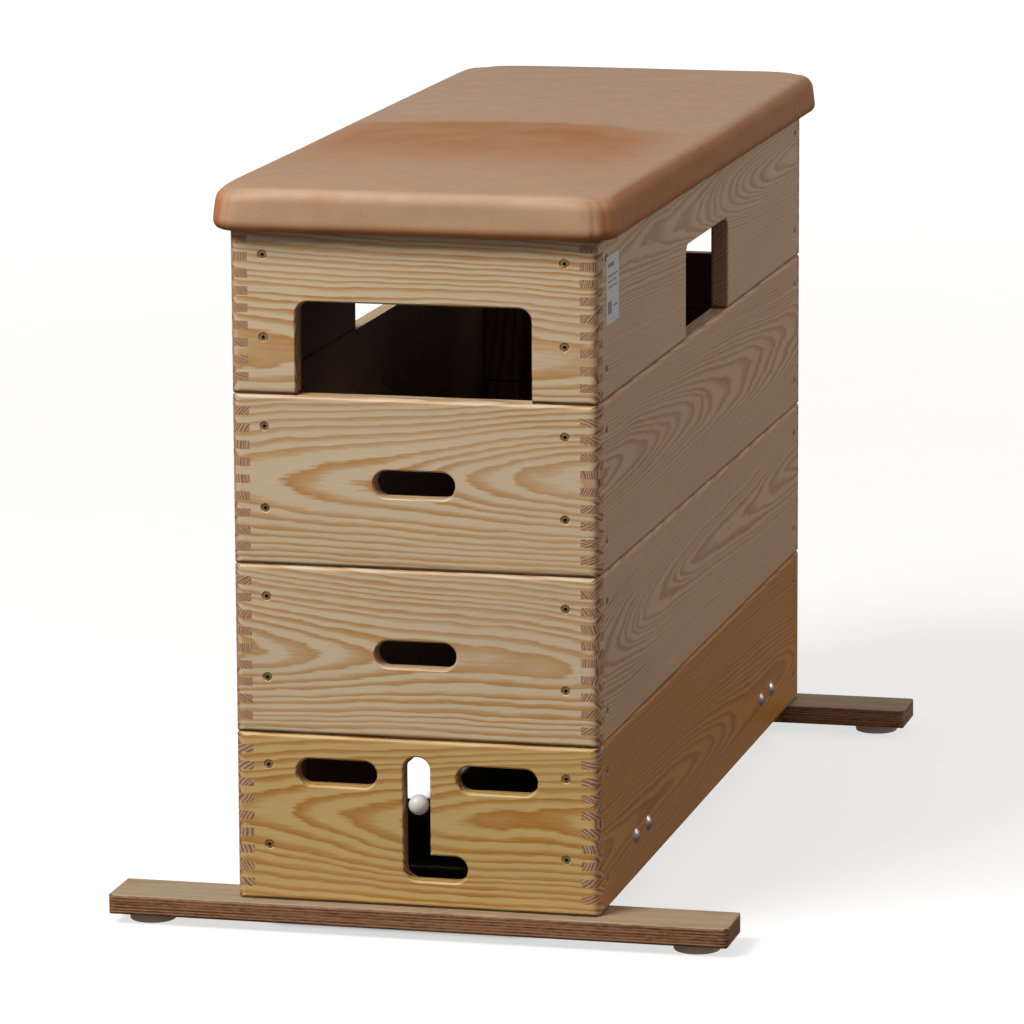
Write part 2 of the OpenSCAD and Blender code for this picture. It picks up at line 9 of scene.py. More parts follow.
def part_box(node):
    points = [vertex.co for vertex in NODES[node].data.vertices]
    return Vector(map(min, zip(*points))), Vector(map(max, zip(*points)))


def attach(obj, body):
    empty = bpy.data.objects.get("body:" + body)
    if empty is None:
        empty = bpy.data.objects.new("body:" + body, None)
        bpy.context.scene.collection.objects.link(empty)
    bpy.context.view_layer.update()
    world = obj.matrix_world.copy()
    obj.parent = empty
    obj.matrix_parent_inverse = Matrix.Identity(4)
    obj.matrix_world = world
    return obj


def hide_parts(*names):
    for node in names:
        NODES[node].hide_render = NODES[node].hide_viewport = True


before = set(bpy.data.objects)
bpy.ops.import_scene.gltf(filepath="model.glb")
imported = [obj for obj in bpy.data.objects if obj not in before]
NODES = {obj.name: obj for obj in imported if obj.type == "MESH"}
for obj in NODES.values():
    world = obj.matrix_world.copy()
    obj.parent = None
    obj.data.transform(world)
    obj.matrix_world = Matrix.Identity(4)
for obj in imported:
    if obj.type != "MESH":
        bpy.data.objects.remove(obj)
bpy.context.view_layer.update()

SECTIONS = ("base", "section_2", "section_3", "top")
ENDS = ("front", "rear")
HANDS = ("left", "right")


# ---------------------------------------------------------------- node trees


class Tree:
    """A material's node tree, with a short call for each kind of node it uses."""

    def __init__(self, name):
        self.material = bpy.data.materials.new(name)
        self.material.use_nodes = True
        self.tree = self.material.node_tree
        self.shader = next(n for n in self.tree.nodes if n.type == "BSDF_PRINCIPLED")

    def node(self, kind, inputs=(), **settings):
        """A new node, with its settings, and its inputs by name or number."""
        made = self.tree.nodes.new(kind)
        for key, value in settings.items():
            setattr(made, key, value)
        for key, value in dict(inputs).items():
            self.put(made.inputs[key], value)
        return made

    def put(self, socket, value):
        """Links a socket, or sets a plain value."""
        if isinstance(value, bpy.types.NodeSocket):
            self.tree.links.new(value, socket)
        elif value is not None:
            socket.default_value = value

    def math(self, operation, a, b=None, c=None):
        values = {i: v for i, v in enumerate((a, b, c)) if v is not None}
        return self.node("ShaderNodeMath", values, operation=operation).outputs[0]

    def add(self, a, b):
        return self.math("ADD", a, b)

    def times(self, a, b):
        return self.math("MULTIPLY", a, b)

    def fade(self, value, low, high, out_low=0.0, out_high=1.0):
        """A smooth step from out_low at low to out_high at high."""
        inputs = {"Value": value, "From Min": low, "From Max": high,
                  "To Min": out_low, "To Max": out_high}
        made = self.node("ShaderNodeMapRange", inputs, interpolation_type="SMOOTHSTEP")
        return made.outputs["Result"]

    def vector(self, x, y, z):
        return self.node("ShaderNodeCombineXYZ", {0: x, 1: y, 2: z}).outputs[0]

    def split(self, vector):
        return self.node("ShaderNodeSeparateXYZ", {0: vector}).outputs

    def place(self):
        """The point's place in the row frame, in metres, carried along as its body moves."""
        return self.node("ShaderNodeTexCoord").outputs["Object"]

    def normal(self):
        """The surface's direction, in the frame of its own body."""
        return self.split(self.node("ShaderNodeTexCoord").outputs["Normal"])

    def noise(self, vector, scale=1.0, detail=2.0, roughness=0.5):
        inputs = {"Vector": vector, "Scale": scale, "Detail": detail, "Roughness": roughness}
        return self.node("ShaderNodeTexNoise", inputs)

    def grain(self, scale, detail=2.0, roughness=0.5):
        """Even noise over the whole object, from 0 to 1."""
        return self.noise(self.place(), scale, detail, roughness).outputs["Fac"]

    def mix(self, fraction, a, b, blend="MIX"):
        made = self.node("ShaderNodeMix", data_type="RGBA", blend_type=blend)
        for socket, value in zip([made.inputs[i] for i in (0, 6, 7)], (fraction, a, b)):
            self.put(socket, rgba(value))
        return made.outputs[2]

    def ramp(self, value, stops):
        """A grey ramp through (place, level) stops."""
        made = self.node("ShaderNodeValToRGB", {"Fac": value})
        points = made.color_ramp.elements
        while len(points) < len(stops):
            points.new(0.5)
        for point, (where, level) in zip(points, stops):
            point.position = where
            point.color = (level, level, level, 1)
        return made.outputs["Color"]

    def bump(self, height, distance, strength=1.0, below=None):
        inputs = {"Height": height, "Distance": distance, "Strength": strength}
        made = self.node("ShaderNodeBump", inputs)
        if below is not None:
            self.put(made.inputs["Normal"], below)
        return made.outputs[0]

    def finish(self, colour=None, roughness=None, normal=None, **plain):
        """Wires the surface up. The plain values are the same all over it."""
        self.put(self.shader.inputs["Base Color"], rgba(colour))
        self.put(self.shader.inputs["Roughness"], roughness)
        self.put(self.shader.inputs["Normal"], normal)
        for key, value in plain.items():
            label = key.replace("_", " ").title().replace("Ior", "IOR")
            self.shader.inputs[label].default_value = value
        return self.material


def rgba(value):
    """A colour triple with its alpha, and anything else as it is."""
    return (*value, 1.0) if isinstance(value, tuple) and len(value) == 3 else value


def dress(node, material):
    """Gives a CAD node a new material."""
    mesh = NODES[node].data
    mesh.materials.clear()
    mesh.materials.append(material)


# ---------------------------------------------------------------- wood

# Early and late wood
PALE_PINE = ((0.735, 0.585, 0.390), (0.545, 0.255, 0.062))
WARM_PINE = ((0.70, 0.475, 0.190), (0.475, 0.200, 0.024))
# Darker, more orange copies of the pine for the right-hand boards: partly their own tone, partly painted
# shade of the side turned away from the key light
SHADED_SIDE_PALE_PINE = ((0.70, 0.500, 0.320), (0.52, 0.265, 0.118))
SHADED_SIDE_TOP_PINE = ((0.715, 0.545, 0.370), (0.54, 0.300, 0.155))
SHADED_SIDE_WARM_PINE = ((0.60, 0.275, 0.052), (0.40, 0.120, 0.008))
POST_PINE = ((0.42, 0.28, 0.15), (0.28, 0.13, 0.045))
END_GRAIN = ((0.610, 0.390, 0.240), (0.320, 0.130, 0.058))
END_PORES = (0.15, 0.065, 0.030)

# How dark the wood gets through one year's ring, from spring to the next spring
YEAR = ((0.0, 0.30), (0.05, 0.0), (0.44, 0.07), (0.60, 0.60), (0.90, 1.0), (1.0, 0.30))
# Dirt and painted shade in the seam along each board's lower edge
SEAM_DIRT_AND_SHADE = (0.115, 0.036, 0.009)
# Painted shade on the boards' inner faces, which look into the box
PAINTED_INSIDE_SHADE = (0.36, 0.27, 0.25)


def wood(name, colours, grain, centre, half_height, outward,
         ring, pith, taper, drift, wander, stretch, seed):
    """Solid wood, cut from a log whose rings wander along it.

    grain is the axis that the fibres follow, and outward is +1 or -1 along the board's thickness.
    ring is one year's growth. pith is the log's centre, behind the board's middle and above it.
    taper and drift are how fast the log's surface runs out of the board, in depth and in height.
    wander is how far the rings stray, and stretch is how slowly they do it along the grain.
    """
    t = Tree(name)
    x, y, z = t.split(t.place())
    along, through, up = {"X": (x, y, z), "Y": (y, x, z), "Z": (z, x, y)}[grain]
    c_along, c_through, c_up = {"X": centre, "Y": (centre[1], centre[0], centre[2]),
                                "Z": (centre[2], centre[0], centre[1])}[grain]
    along = t.add(along, -c_along)
    through = t.times(t.add(through, -c_through), outward)
    up = t.add(up, -c_up)

    def field(a, b, c, detail=2.0, roughness=0.5):
        """Noise with its own scale along, through and up the board."""
        where = t.vector(t.add(t.times(along, a), seed), t.times(through, b),
                         t.add(t.times(up, c), seed))
        return t.noise(where, 1.0, detail, roughness)

    def centred(value, reach):
        return t.times(t.add(value, -0.5), reach)

    slow = t.split(field(2.6 / stretch, 9.0, 6.0, 1.0).outputs["Color"])
    ripple = t.split(field(11.0 / stretch, 28.0, 26.0, 2.0, 0.55).outputs["Color"])
    depth = t.add(through, pith[0])
    depth = t.add(depth, t.times(along, taper))
    depth = t.add(depth, t.add(centred(slow[0], 2.0 * wander), centred(ripple[0], 0.006)))
    height = t.add(up, -pith[1])
    height = t.add(height, t.times(along, drift))
    height = t.add(height, t.add(centred(slow[1], wander), centred(ripple[1], 0.0045)))
    radius = t.math("SQRT", t.add(t.times(depth, depth), t.times(height, height)))

    # Some years grow more than others, and the fibres fray every ring's edge
    years = t.times(radius, 1.0 / ring)
    uneven = t.noise(t.vector(t.times(years, 0.45), seed, 0.0), 1.0, 1.0).outputs["Fac"]
    fibre = field(14.0, 620.0, 620.0, 2.0, 0.6).outputs["Fac"]
    fray = field(26.0, 260.0, 260.0, 2.0, 0.6).outputs["Fac"]
    years = t.add(years, t.add(centred(uneven, 1.7), centred(fray, 0.46)))
    late = t.ramp(t.math("FRACT", years), YEAR)

    # Tone changes slowly from place to place, and each fibre is a little lighter or darker
    strength = t.fade(field(4.0, 20.0, 14.0).outputs["Fac"], 0.3, 0.7, 0.70, 1.0)
    colour = t.mix(t.times(late, strength), *colours)
    tone = t.add(centred(field(3.0, 10.0, 8.0).outputs["Fac"], 0.20), centred(fibre, 0.16))
    tone = t.add(tone, 1.0)
    colour = t.mix(1.0, colour, t.vector(tone, tone, tone), "MULTIPLY")

    # Cut across the fibres, the wood is darker and redder, and dull
    along_axis, through_axis = {"X": (0, 1), "Y": (1, 0), "Z": (2, 0)}[grain]
    across = t.normal()[along_axis]
    end = t.fade(t.math("ABSOLUTE", across), 0.35, 0.75)
    pores = field(900.0, 900.0, 900.0, 1.0).outputs["Fac"]
    end_colour = t.mix(t.fade(late, 0.15, 0.75), *END_GRAIN)
    end_colour = t.mix(t.fade(pores, 0.42, 0.75, 0.0, 0.4), end_colour, END_PORES)
    colour = t.mix(end, colour, end_colour)

    # Dirt and painted shade along the lower edge, where the sections meet, and painted shade on the face
    # that looks into the box
    dull = 0.0
    if grain != "Z":
        seam = t.fade(t.times(up, -1.0), half_height - 0.0046, half_height - 0.0024)
        seam = t.times(seam, t.fade(fray, 0.2, 0.8, 0.6, 1.0))
        colour = t.mix(seam, colour, SEAM_DIRT_AND_SHADE)
        dull = t.times(seam, 0.45)
        # Painted shade: the face that looks into the box is darkened
        inward = t.times(t.normal()[through_axis], -outward)
        colour = t.mix(t.fade(inward, 0.6, 0.95), colour, PAINTED_INSIDE_SHADE, "MULTIPLY")

    roughness = t.add(t.fade(late, 0.0, 1.0, 0.46, 0.38), t.add(t.times(end, 0.2), centred(fibre, 0.1)))
    roughness = t.add(roughness, dull)
    relief = t.add(t.times(late, 0.5), t.times(fibre, 0.6))
    normal = t.bump(relief, 0.00018, 0.55)
    return t.finish(colour, roughness, normal, coat_weight=0.12, coat_roughness=0.28)


def dress_boards():
    """Every board has its own place in its own log, so no two show the same rings."""
    # ring, pith behind and above the board's middle, taper, drift, wander
    front_logs = {
        "base": (0.0070, (0.046, 0.006), -0.085, -0.02, 0.020),
        "section_2": (0.0060, (0.050, -0.004), 0.050, 0.03, 0.016),
        "section_3": (0.0066, (0.040, 0.004), -0.075, -0.03, 0.020),
        "top": (0.0064, (0.040, -0.045), 0.030, 0.02, 0.020),
    }
    side_logs = {
        "base": (0.0040, (0.050, -0.030), 0.030, 0.01, 0.026),
        "section_2": (0.0028, (0.060, 0.014), -0.030, -0.012, 0.018),
        "section_3": (0.0030, (0.050, 0.010), 0.032, 0.012, 0.020),
        "top": (0.0024, (0.055, 0.045), -0.026, 0.014, 0.018),
    }
    for number, section in enumerate(SECTIONS):
        warm = section == "base"
        low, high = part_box(section + "_right_board")
        half = (high.z - low.z) / 2
        for turn, end in enumerate(ENDS):
            node = f"{section}_{end}_board"
            ring, pith, taper, drift, wander = front_logs[section]
            side = 1 if end == "rear" else -1
            colours = WARM_PINE if warm else PALE_PINE
            dress(node, wood("Pine_" + node, colours, "X", middle(node), half, side, ring, pith,
                             taper * -side, drift, wander, 1.0, 3.1 + 7.3 * number + 31.0 * turn))
        for turn, hand in enumerate(HANDS):
            node = f"{section}_{hand}_board"
            ring, pith, taper, drift, wander = side_logs[section]
            side = 1 if hand == "right" else -1
            colours = WARM_PINE if warm else PALE_PINE
            # The right-hand boards take the darker copies: partly their own tone, partly painted shade
            if hand == "right":
                colours = {"base": SHADED_SIDE_WARM_PINE, "top": SHADED_SIDE_TOP_PINE}.get(section, SHADED_SIDE_PALE_PINE)
            dress(node, wood("Pine_" + node, colours, "Y", middle(node), half, side, ring, pith,
                             taper * side, drift, wander, 2.6, 11.7 + 5.9 * number + 43.0 * turn))
        node = section + "_corner_posts"
        dress(node, wood("Pine_" + node, POST_PINE, "Z", middle(node), half, 1, 0.0045, (0.31, 0.02),
                         0.02, 0.0, 0.01, 1.0, 71.0 + 9.0 * number))


def middle(node):
    low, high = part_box(node)
    return tuple((low + high) / 2)


# ---------------------------------------------------------------- plywood

# One veneer's thickness
PLY = 0.00172
PLY_LIGHT = (0.46, 0.225, 0.105)
PLY_DARK = (0.110, 0.033, 0.011)
PLY_GLUE = (0.035, 0.013, 0.007)
PLY_FACE = (0.475, 0.370, 0.238)
PLY_WAVES = (0.40, 0.290, 0.180)
PLY_STREAKS = (0.335, 0.225, 0.138)
PLY_BLOTCHES = (0.33, 0.19, 0.10)


def plywood(name, low_z, seed):
    """Cross-laid veneers: a plain face above and below, and striped edges."""
    t = Tree(name)
    x, y, z = t.split(t.place())
    depth = t.times(t.add(z, -low_z), 1.0 / PLY)
    sway = t.noise(t.vector(t.times(x, 9.0), t.times(y, 9.0), seed), 1.0, 1.0).outputs["Fac"]
    depth = t.add(depth, t.times(sway, 0.5))
    layer = t.math("FLOOR", depth)
    inside = t.math("FRACT", depth)
    cross = t.math("MODULO", layer, 2.0)

    # Each veneer has its own tone, and its own streaks along the bar
    tone = t.noise(t.vector(t.times(layer, 7.7), seed, t.times(x, 3.0)), 1.0, 1.0).outputs["Fac"]
    dashes = t.vector(t.times(x, 70.0), t.times(y, 70.0), t.times(layer, 5.3))
    dashes = t.noise(dashes, 1.0, 3.0, 0.6).outputs["Fac"]
    uneven = t.add(t.fade(tone, 0.3, 0.7, -0.18, 0.36), t.fade(dashes, 0.35, 0.7, -0.14, 0.34))
    dark = t.add(t.times(cross, 0.55), uneven)
    edge = t.mix(t.math("MINIMUM", t.math("MAXIMUM", dark, 0.0), 1.0), PLY_LIGHT, PLY_DARK)
    glue = t.fade(t.math("ABSOLUTE", t.add(inside, -0.5)), 0.40, 0.5)
    edge = t.mix(t.times(glue, 0.55), edge, PLY_GLUE)

    flow = t.noise(t.vector(t.times(x, 2.0), t.times(y, 18.0), seed), 1.0, 2.0).outputs["Fac"]
    fine = t.noise(t.vector(t.times(x, 22.0), t.times(y, 700.0), seed), 1.0, 3.0, 0.6).outputs["Fac"]
    waves = t.math("SINE", t.add(t.times(y, 260.0), t.times(flow, 26.0)))
    face = t.mix(t.fade(waves, -1.0, 1.0, 0.0, 0.35), PLY_FACE, PLY_WAVES)
    face = t.mix(t.fade(fine, 0.42, 0.75, 0.0, 0.45), face, PLY_STREAKS)
    blotches = t.noise(t.vector(t.times(x, 9.0), t.times(y, 30.0), seed), 1.0, 4.0, 0.62).outputs["Fac"]
    face = t.mix(t.fade(blotches, 0.48, 0.72, 0.0, 0.5), face, PLY_BLOTCHES)
    flat = t.fade(t.math("ABSOLUTE", t.normal()[2]), 0.55, 0.85)
    colour = t.mix(flat, edge, face)
    relief = t.add(t.times(glue, -0.4), t.times(fine, 0.5))
    roughness = t.fade(fine, 0.2, 0.8, 0.42, 0.58)
    return t.finish(colour, roughness, t.bump(relief, 0.0002, 0.5), coat_weight=0.08)


# ---------------------------------------------------------------- metal, rubber and plastic

SOCKET_DEPTH = 0.0017
SOCKET_DIRT_AND_SHADE = (0.05, 0.035, 0.018)


def metal(name, colour, worn, roughness=0.35, scratch=1.0, sockets=False):
    """Metal with worn patches, and dirt and painted shade down in the board screws' sockets if it has
    them.
    """
    t = Tree(name)
    cloud = t.grain(60.0, 3.0, 0.6)
    spots = t.grain(420.0, 2.0)
    wear = t.math("MINIMUM", t.times(t.fade(cloud, 0.42, 0.70), scratch), 1.0)
    surface = t.mix(wear, colour, worn)
    surface = t.mix(t.fade(spots, 0.55, 0.75, 0.0, 0.35), surface, tuple(0.55 * c for c in colour))
    if sockets:
        # Dirt and painted shade: whatever lies below the boards' outer faces, down in the sockets, is
        # darkened
        x, y = t.split(t.place())[:2]
        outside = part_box("base_right_board")[1]
        below_x = t.math("LESS_THAN", t.math("ABSOLUTE", x), outside.x - SOCKET_DEPTH)
        below_y = t.math("LESS_THAN", t.math("ABSOLUTE", y), outside.y - SOCKET_DEPTH)
        surface = t.mix(t.times(below_x, below_y), surface, SOCKET_DIRT_AND_SHADE)
    rough = t.add(t.fade(spots, 0.3, 0.7, roughness - 0.08, roughness + 0.10), t.times(wear, 0.05))
    return t.finish(surface, rough, t.bump(spots, 0.00008, 0.4), metallic=1.0)


def painted_steel(name, paint):
    """Black paint with orange-peel, dust, and rubbed places where steel shows through."""
    t = Tree(name)
    peel = t.grain(900.0, 2.0)
    dust = t.grain(35.0, 4.0, 0.65)
    colour = t.mix(t.fade(dust, 0.45, 0.8, 0.0, 0.30), paint, (0.16, 0.15, 0.145))
    colour = t.mix(t.fade(t.grain(140.0, 4.0, 0.7), 0.68, 0.74, 0.0, 0.6), colour, (0.24, 0.23, 0.22))
    rough = t.fade(dust, 0.3, 0.8, 0.32, 0.62)
    return t.finish(colour, rough, t.bump(peel, 0.00006, 0.5))


def rubber(name, colour, dusty, roughness):
    """Rubber with moulding grain and dust."""
    t = Tree(name)
    grain = t.grain(1100.0, 2.0)
    dust = t.grain(28.0, 4.0, 0.6)
    surface = t.mix(t.fade(dust, 0.4, 0.75, 0.0, 0.55), colour, dusty)
    rough = t.fade(grain, 0.3, 0.7, roughness - 0.06, roughness + 0.08)
    return t.finish(surface, rough, t.bump(grain, 0.00010, 0.5))


def plastic(name, colour, stain, roughness):
    """Moulded plastic with faint handling marks."""
    t = Tree(name)
    marks = t.grain(90.0, 4.0, 0.6)
    grain = t.grain(1500.0, 1.0)
    surface = t.mix(t.fade(marks, 0.5, 0.78, 0.0, 0.35), colour, stain)
    rough = t.fade(marks, 0.3, 0.8, roughness - 0.05, roughness + 0.12)
    return t.finish(surface, rough, t.bump(grain, 0.00003, 0.4))


def label_film(name, node):
    """A blank sticker: a pale film with plain grey bars and no lettering."""
    low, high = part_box(node)
    t = Tree(name)
    y, z = t.split(t.place())[1:]
    across = t.times(t.add(y, -low.y), 1.0 / (high.y - low.y))
    up = t.times(t.add(z, -low.z), 1.0 / (high.z - low.z))
    bars = 0.0
    # left and right end, height and half height of each bar, as parts of the sticker
    layout = ((0.12, 0.62, 0.86, 0.030), (0.12, 0.88, 0.70, 0.012), (0.12, 0.80, 0.62, 0.012),
              (0.12, 0.85, 0.54, 0.012), (0.12, 0.42, 0.24, 0.095), (0.54, 0.86, 0.24, 0.012))
    for left, right, height, half in layout:
        inside = t.times(t.math("GREATER_THAN", across, left), t.math("LESS_THAN", across, right))
        near = t.math("LESS_THAN", t.math("ABSOLUTE", t.add(up, -height)), half)
        bars = t.math("MAXIMUM", bars, t.times(inside, near))
    scuffs = t.grain(260.0, 4.0, 0.65)
    film = t.mix(t.fade(scuffs, 0.45, 0.75, 0.0, 0.35), (0.80, 0.86, 0.94), (0.62, 0.65, 0.69))
    colour = t.mix(t.times(bars, 0.8), film, (0.16, 0.18, 0.22))
    return t.finish(colour, t.fade(scuffs, 0.3, 0.7, 0.28, 0.45), t.bump(scuffs, 0.00004, 0.4))


def dress_hardware():
    brass = metal("Yellow_zinc", (0.78, 0.62, 0.30), (0.42, 0.34, 0.15), 0.38, sockets=True)
    zinc = metal("Bright_zinc", (0.62, 0.65, 0.70), (0.42, 0.44, 0.47), 0.28)
    black = painted_steel("Black_paint", (0.016, 0.016, 0.018))
    tyre = rubber("Tyre_rubber", (0.020, 0.020, 0.021), (0.09, 0.085, 0.08), 0.72)
    hub = plastic("Hub_plastic", (0.13, 0.135, 0.14), (0.07, 0.07, 0.07), 0.5)
    knob = plastic("Knob_plastic", (0.80, 0.80, 0.79), (0.62, 0.60, 0.56), 0.30)
    feet = rubber("Foot_rubber", (0.74, 0.54, 0.40), (0.82, 0.66, 0.53), 0.42)
    for section in SECTIONS:
        dress(section + "_screws", brass)
    for node in ("foot_bar_screws", "coach_bolts", "coach_washers", "coach_nuts", "pad_brackets"):
        dress(node, zinc)
    dress("bearing_plates", black)
    dress("rubber_feet", feet)
    dress("label", label_film("Blank_label", "label"))
    for end in ENDS:
        for part in ("axle_tube", "swing_plate", "lever"):
            dress(f"{end}_{part}", black)
        dress(end + "_lever_knob", knob)
        for part in ("wheel_axle", "axle_nuts"):
            dress(f"{end}_{part}", zinc)
        for hand in HANDS:
            dress(f"{end}_{hand}_tyre", tyre)
            dress(f"{end}_{hand}_hub", hub)
    for turn, end in enumerate(ENDS):
        node = "foot_bar_" + end
        dress(node, plywood("Plywood_" + node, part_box(node)[0].z, 3.0 + 5.0 * turn))
    dress("pad_board", plywood("Plywood_pad_board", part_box("pad_board")[0].z, 19.0))


# ---------------------------------------------------------------- leather

LEATHER_NEAR = (0.515, 0.320, 0.197)
# Painted light on the faces turned towards the ends
LEATHER_PAINTED_LIGHT_ENDS = (0.610, 0.372, 0.225)
LEATHER_FAR = (0.51, 0.345, 0.240)
LEATHER_ORANGE = (0.41, 0.150, 0.026)
# Painted shade, darker and more orange, on the long sides
LEATHER_PAINTED_SHADE_FLANKS = (0.51, 0.182, 0.049)
LEATHER_RIM = (0.45, 0.160, 0.042)
LEATHER_MOTTLE = (0.40, 0.22, 0.125)
LEATHER_PATCHES = (0.56, 0.29, 0.14)
# Painted highlight along the ridge at the top of both ends
LEATHER_RIDGE_HIGHLIGHT = (0.78, 0.56, 0.40)
LEATHER_PORES = (0.22, 0.10, 0.05)


def leather(low, high):
    """Tanned hide: darker where hands land in the middle, and dark along its rim, with painted light on
    its ends, painted shade on its long sides and a painted highlight along the ridges of its ends.
    """
    t = Tree("Tan_leather")
    x, y, z = t.split(t.place())
    height = high.z - low.z

    # Two soft tones of hide, which meet near the middle of the top
    meander = t.grain(6.0, 3.0, 0.55)
    join = t.add(y, t.add(t.times(meander, 0.16), t.times(x, 0.05)))
    far = t.fade(join, -0.02, 0.16)
    colour = t.mix(far, LEATHER_NEAR, LEATHER_FAR)

    # Hand wear: sharp on its far side, fading to the near end, and strongest in the middle
    start = t.fade(join, 0.030, 0.060, 1.0, 0.0)
    fading = t.fade(y, -0.50, -0.20)
    sides = t.fade(t.math("ABSOLUTE", t.add(x, 0.015)), 0.15, 0.245, 1.0, 0.0)
    cloud = t.fade(t.grain(4.5, 4.0, 0.6), 0.30, 0.60, 0.55, 1.0)
    worn = t.times(t.times(start, fading), t.times(sides, cloud))
    core_x = t.times(t.add(x, -0.065), 1.0 / 0.11)
    core_y = t.times(t.add(join, 0.045), 1.0 / 0.075)
    core = t.math("SQRT", t.add(t.times(core_x, core_x), t.times(core_y, core_y)))
    worn = t.math("MAXIMUM", t.times(worn, 0.86), t.times(t.fade(core, 0.3, 1.5, 1.0, 0.0), start))
    on_top = t.fade(z, low.z + 0.62 * height, low.z + 0.9 * height)
    colour = t.mix(t.times(t.times(worn, on_top), 0.97), colour, LEATHER_ORANGE)
    # Painted light: faces turned towards the ends are made lighter
    front = t.fade(t.math("ABSOLUTE", t.normal()[1]), 0.35, 0.85)
    colour = t.mix(front, colour, LEATHER_PAINTED_LIGHT_ENDS)
    # Painted shade: the long sides turn darker and more orange, most towards the near end
    flank = t.fade(t.math("ABSOLUTE", t.normal()[0]), 0.30, 0.85)
    colour = t.mix(t.times(flank, t.fade(y, -0.60, 0.60, 0.97, 0.80)), colour, LEATHER_PAINTED_SHADE_FLANKS)

    # Mottle in the hide, and fine pores
    mottle = t.grain(26.0, 5.0, 0.62)
    colour = t.mix(t.fade(mottle, 0.35, 0.75, 0.0, 0.22), colour, LEATHER_MOTTLE)
    patches = t.grain(11.0, 3.0, 0.55)
    colour = t.mix(t.fade(patches, 0.5, 0.75, 0.0, 0.30), colour, LEATHER_PATCHES)
    rim = t.fade(z, low.z + 0.04 * height, low.z + 0.30 * height, 1.0, 0.0)
    colour = t.mix(t.times(rim, t.fade(patches, 0.2, 0.7, 0.75, 1.0)), colour, LEATHER_RIM)
    # Painted highlight: a lighter band along the ridge at the top of both ends
    ridge = t.fade(z, low.z + 0.80 * height, low.z + 0.88 * height)
    ridge = t.times(ridge, t.fade(z, low.z + 0.90 * height, low.z + 0.97 * height, 1.0, 0.0))
    near_end = t.fade(t.math("ABSOLUTE", y), high.y - 0.022, high.y - 0.008)
    colour = t.mix(t.times(t.times(ridge, near_end), 0.35), colour, LEATHER_RIDGE_HIGHLIGHT)

    grid = {"Vector": t.place(), "Scale": 520.0}
    cells = t.node("ShaderNodeTexVoronoi", grid, feature="DISTANCE_TO_EDGE")
    pores = t.fade(cells.outputs["Distance"], 0.0, 0.22)
    creases = t.vector(t.times(x, 26.0), t.times(y, 70.0), t.times(z, 26.0))
    creases = t.noise(creases, 1.0, 4.0, 0.6).outputs["Fac"]
    colour = t.mix(t.fade(pores, 0.0, 1.0, 0.16, 0.0), colour, LEATHER_PORES)
    rough = t.add(t.fade(mottle, 0.3, 0.7, 0.43, 0.56), t.times(worn, -0.05))
    coarse = t.bump(t.add(creases, t.times(mottle, 0.6)), 0.0006, 0.30)
    return t.finish(colour, rough, t.bump(pores, 0.00012, 0.45, coarse), specular_ior_level=0.42)


# The pad's form, in metres
PAD_LIFT = 0.0002
PAD_INSET = 0.0015
CORNER_R = 0.038
RIM_R = 0.011
END_EDGE_R = 0.016
SIDE_EDGE_R = 0.016
PAD_SWELL = 0.0045
RIM_WALL = 0.0007
CORNER_REACH = 0.045
CORNER_DROP = 0.0045
CORNER_PULL = 0.007
RIM_GAP = 0.0008
CROWN = 0.0028
TOP_GAP = 0.0014
# Width of the fine part of the pad's grid along its edges, and the step in it
EDGE_ZONE = 0.044
EDGE_STEP = 0.004
# How much of the pad's height the boards hold, and how many frames the cloth is blown up for
HELD_PART = 0.30
CLOTH_FRAMES = 20


def grid_lines(half, fine_zone, fine, coarse, step):
    """Places from -half to half, closer near both ends, with a pair at the rim's inner wall."""
    outer = np.linspace(half - fine_zone, half, int(round(fine_zone / fine)) + 1)
    outer = outer[np.abs(outer - (half - step)) > 0.6 * fine]
    outer = np.sort(np.append(outer, (half - step - RIM_WALL, half - step)))
    count = int(round((half - fine_zone) / coarse))
    inner = np.linspace(0.0, half - fine_zone, count + 1)
    positive = np.concatenate([inner, outer[1:]])
    return np.concatenate([-positive[:0:-1], positive])


def box_shell(xs, ys, zs):
    """A closed box of quads through the given grid lines."""
    points, faces, seen = [], [], {}

    def point(i, j, k):
        if (i, j, k) not in seen:
            seen[i, j, k] = len(points)
            points.append((xs[i], ys[j], zs[k]))
        return seen[i, j, k]

    top_x, top_y, top_z = len(xs) - 1, len(ys) - 1, len(zs) - 1
    for i in range(top_x):
        for j in range(top_y):
            corners = ((i, j), (i + 1, j), (i + 1, j + 1), (i, j + 1))
            faces.append([point(a, b, top_z) for a, b in corners])
            faces.append([point(a, b, 0) for a, b in reversed(corners)])
    for k in range(top_z):
        for i in range(top_x):
            corners = ((i, k), (i + 1, k), (i + 1, k + 1), (i, k + 1))
            faces.append([point(a, 0, c) for a, c in corners])
            faces.append([point(a, top_y, c) for a, c in reversed(corners)])
        for j in range(top_y):
            corners = ((j, k), (j + 1, k), (j + 1, k + 1), (j, k + 1))
            faces.append([point(0, b, c) for b, c in reversed(corners)])
            faces.append([point(top_x, b, c) for b, c in corners])
    return np.array(points), faces


